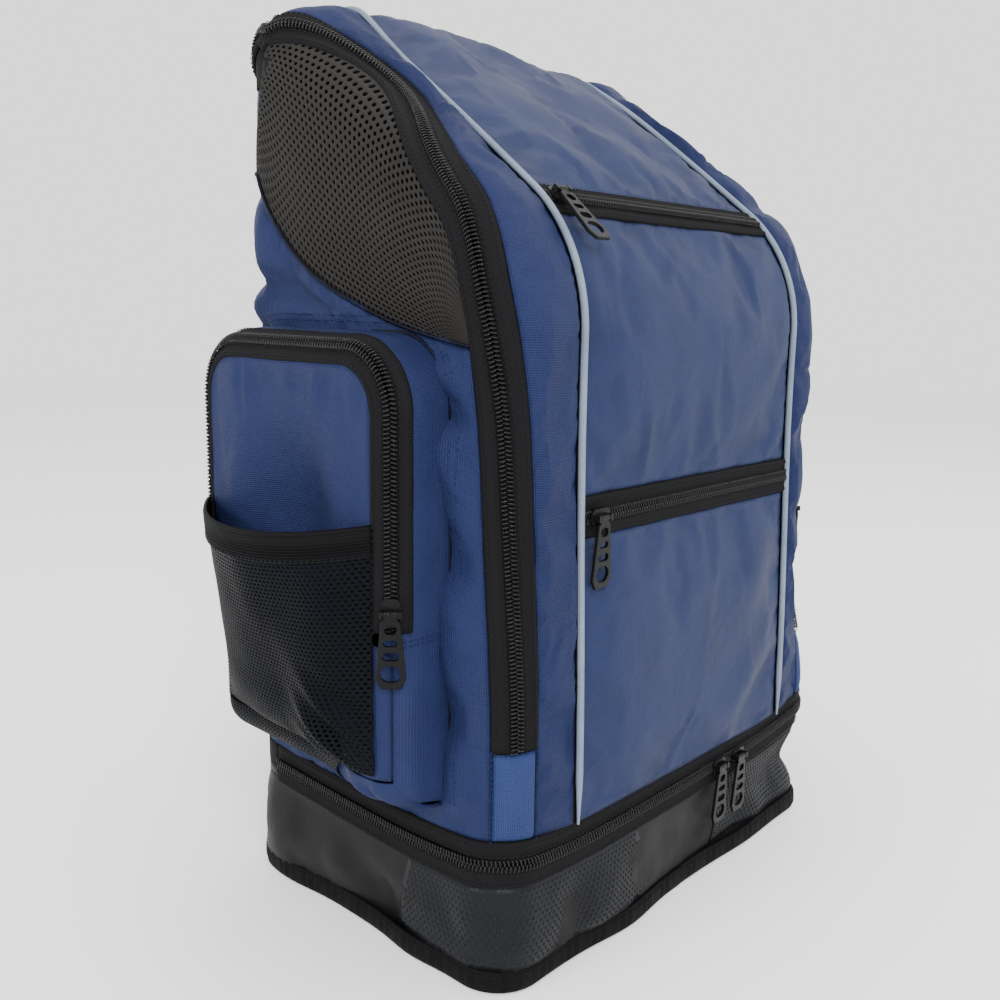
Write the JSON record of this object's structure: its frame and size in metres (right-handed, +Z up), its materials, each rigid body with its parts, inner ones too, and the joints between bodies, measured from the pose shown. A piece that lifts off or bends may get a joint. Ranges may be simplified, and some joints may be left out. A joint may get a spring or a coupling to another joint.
{
  "type": "sports backpack",
  "caption": "Sports backpack with a sloping top, a wide-opening front flap, front zip pockets, side pouches with mesh bottle pockets and a zipped wet compartment in its base",
  "frame": {"origin": "centre of the bottom of the overall box, on the floor the bag stands on", "axes": "+Z up, the front pockets face -Y, the wearer's back is at +Y, +X to the right as seen from the front; the bag is symmetrical about X apart from its zip sliders"},
  "size_m": [0.451, 0.2642, 0.5058],
  "materials": {
    "body_fabric": "woven navy polyester with a soft sheen",
    "window_mesh": "charcoal mesh with rows of small holes",
    "base_tarpaulin": "coated black fabric, semi-gloss",
    "textured_patch": "black moulded patch with raised dots",
    "binding_tape": "ribbed black tape",
    "stiff_board": "pale foamed board",
    "lining": "thin dark grey lining",
    "zip": "black tape with black coil teeth",
    "reflective_piping": "light grey-blue reflective piping",
    "padding": "black air mesh over foam",
    "webbing": "black webbing",
    "plastic_hardware": "black moulded plastic",
    "dark_metal": "dark gunmetal, polished edges"
  },
  "bodies": {
    "base": {"base_wall": "base_tarpaulin", "base_floor": "base_tarpaulin", "base_board": "stiff_board", "base_binding": "binding_tape", "base_corner_patches": "textured_patch", "base_zip_lower_half": "zip"},
    "pack": {"side_panel_left": "body_fabric", "side_panel_right": "body_fabric", "side_mesh_left": "window_mesh", "side_mesh_right": "window_mesh", "back_panel": "body_fabric", "back_foam_board": "stiff_board", "divider_floor": "lining", "lower_front_wall": "body_fabric", "base_zip_upper_half": "zip", "main_zip_rear_half": "zip", "back_pads": "padding", "inner_sleeve": "lining", "pouch_gusset_left": "body_fabric", "pouch_gusset_right": "body_fabric", "pouch_zip_gusset_halves": "zip", "harness_anchors": "binding_tape", "lower_piping": "reflective_piping"},
    "flap": {"flap_corner_strips": "body_fabric", "lower_pocket_panel": "body_fabric", "upper_pocket_panel": "body_fabric", "top_panel": "body_fabric", "pocket_lining": "lining", "front_pocket_zips": "zip", "main_zip_flap_half": "zip", "flap_piping": "reflective_piping"},
    "haul_loop": {"haul_loop": "webbing"},
    "pouch_face_left": {"pouch_face_left": "body_fabric", "pouch_zip_face_half_left": "zip", "bottle_pocket_left": "window_mesh"},
    "strap_left": {"shoulder_strap_left": "padding", "ladder_lock_left": "plastic_hardware", "strap_webbing_left": "webbing"},
    "pouch_face_right": {"pouch_face_right": "body_fabric", "pouch_zip_face_half_right": "zip", "bottle_pocket_right": "window_mesh"},
    "strap_right": {"shoulder_strap_right": "padding", "ladder_lock_right": "plastic_hardware", "strap_webbing_right": "webbing"},
    "lower_pocket_slider": {"lower_pocket_slider": "dark_metal"},
    "lower_pocket_puller": {"lower_pocket_puller": "dark_metal"},
    "upper_pocket_slider": {"upper_pocket_slider": "dark_metal"},
    "upper_pocket_puller": {"upper_pocket_puller": "dark_metal"},
    "base_left_slider": {"base_left_slider": "dark_metal"},
    "base_left_puller": {"base_left_puller": "dark_metal"},
    "base_right_slider": {"base_right_slider": "dark_metal"},
    "base_right_puller": {"base_right_puller": "dark_metal"},
    "main_left_slider": {"main_left_slider": "dark_metal"},
    "main_left_puller": {"main_left_puller": "dark_metal"},
    "main_right_slider": {"main_right_slider": "dark_metal"},
    "main_right_puller": {"main_right_puller": "dark_metal"},
    "pouch_left_slider": {"pouch_left_slider": "dark_metal"},
    "pouch_left_puller": {"pouch_left_puller": "dark_metal"},
    "pouch_right_slider": {"pouch_right_slider": "dark_metal"},
    "pouch_right_puller": {"pouch_right_puller": "dark_metal"}
  },
  "joints": [
    {"name": "base_zip_open", "type": "hinge", "parent": "base", "child": "pack", "pos_m": [0, 0.0923, 0.066], "axis": [-1, 0, 0], "range_deg": [0, 50]},
    {"name": "flap_open", "type": "hinge", "parent": "pack", "child": "flap", "pos_m": [0, -0.1237, 0.13], "axis": [1, 0, 0], "range_deg": [0, 90]},
    {"name": "haul_loop_swing", "type": "hinge", "parent": "pack", "child": "haul_loop", "pos_m": [0, 0.0998, 0.458], "axis": [-1, 0, 0], "range_deg": [0, 120]},
    {"name": "pouch_open_left", "type": "hinge", "parent": "pack", "child": "pouch_face_left", "pos_m": [-0.1965, -0.0197, 0.116], "axis": [0, -1, 0], "range_deg": [0, 75]},
    {"name": "strap_swing_left", "type": "hinge", "parent": "pack", "child": "strap_left", "pos_m": [-0.117, 0.0963, 0.092], "axis": [0.1746, -0.0057, 0.9846], "range_deg": [0, 14]},
    {"name": "pouch_open_right", "type": "hinge", "parent": "pack", "child": "pouch_face_right", "pos_m": [0.1965, -0.0197, 0.116], "axis": [0, 1, 0], "range_deg": [0, 75]},
    {"name": "strap_swing_right", "type": "hinge", "parent": "pack", "child": "strap_right", "pos_m": [0.117, 0.0963, 0.092], "axis": [0.1746, 0.0057, -0.9846], "range_deg": [0, 14]},
    {"name": "lower_pocket_zip_slide", "type": "slide", "parent": "flap", "child": "lower_pocket_slider", "axis": [1, 0, 0], "range_m": [0, 0.185]},
    {"name": "upper_pocket_zip_slide", "type": "slide", "parent": "flap", "child": "upper_pocket_slider", "axis": [1, 0, 0], "range_m": [0, 0.185]},
    {"name": "base_left_zip_slide", "type": "slide", "parent": "base", "child": "base_left_slider", "axis": [-1, 0, 0], "range_m": [0, 0.149]},
    {"name": "base_right_zip_slide", "type": "slide", "parent": "base", "child": "base_right_slider", "axis": [1, 0, 0], "range_m": [0, 0.057]},
    {"name": "main_left_zip_slide", "type": "slide", "parent": "pack", "child": "main_left_slider", "axis": [-1, 0, 0], "range_m": [0, 0.055]},
    {"name": "main_right_zip_slide", "type": "slide", "parent": "pack", "child": "main_right_slider", "axis": [1, 0, 0], "range_m": [0, 0.055]},
    {"name": "pouch_left_zip_slide", "type": "slide", "parent": "pouch_face_left", "child": "pouch_left_slider", "axis": [0, 0, 1], "range_m": [0, 0.087]},
    {"name": "pouch_right_zip_slide", "type": "slide", "parent": "pouch_face_right", "child": "pouch_right_slider", "axis": [0, 0, 1], "range_m": [0, 0.087]},
    {"name": "lower_pocket_puller_lift", "type": "hinge", "parent": "lower_pocket_slider", "child": "lower_pocket_puller", "pos_m": [-0.0925, -0.12915, 0.242], "axis": [-1, 0, 0], "range_deg": [0, 150]},
    {"name": "upper_pocket_puller_lift", "type": "hinge", "parent": "upper_pocket_slider", "child": "upper_pocket_puller", "pos_m": [-0.0925, -0.09606, 0.40464], "axis": [-1, 0, 0], "range_deg": [0, 150]},
    {"name": "base_left_puller_lift", "type": "hinge", "parent": "base_left_slider", "child": "base_left_puller", "pos_m": [0.035, -0.12915, 0.066], "axis": [-1, 0, 0], "range_deg": [0, 150]},
    {"name": "base_right_puller_lift", "type": "hinge", "parent": "base_right_slider", "child": "base_right_puller", "pos_m": [0.057, -0.12915, 0.066], "axis": [-1, 0, 0], "range_deg": [0, 150]},
    {"name": "main_left_puller_lift", "type": "hinge", "parent": "main_left_slider", "child": "main_left_puller", "pos_m": [-0.06, 0.09775, 0.48], "axis": [1, 0, 0], "range_deg": [0, 150]},
    {"name": "main_right_puller_lift", "type": "hinge", "parent": "main_right_slider", "child": "main_right_puller", "pos_m": [0.06, 0.09775, 0.48], "axis": [1, 0, 0], "range_deg": [0, 150]},
    {"name": "pouch_left_puller_lift", "type": "hinge", "parent": "pouch_left_slider", "child": "pouch_left_puller", "pos_m": [-0.19508, -0.08428, 0.203], "axis": [-0.7071, 0.7071, 0], "range_deg": [0, 150]},
    {"name": "pouch_right_puller_lift", "type": "hinge", "parent": "pouch_right_slider", "child": "pouch_right_puller", "pos_m": [0.19508, -0.08428, 0.203], "axis": [-0.7071, -0.7071, 0], "range_deg": [0, 150]}
  ]
}
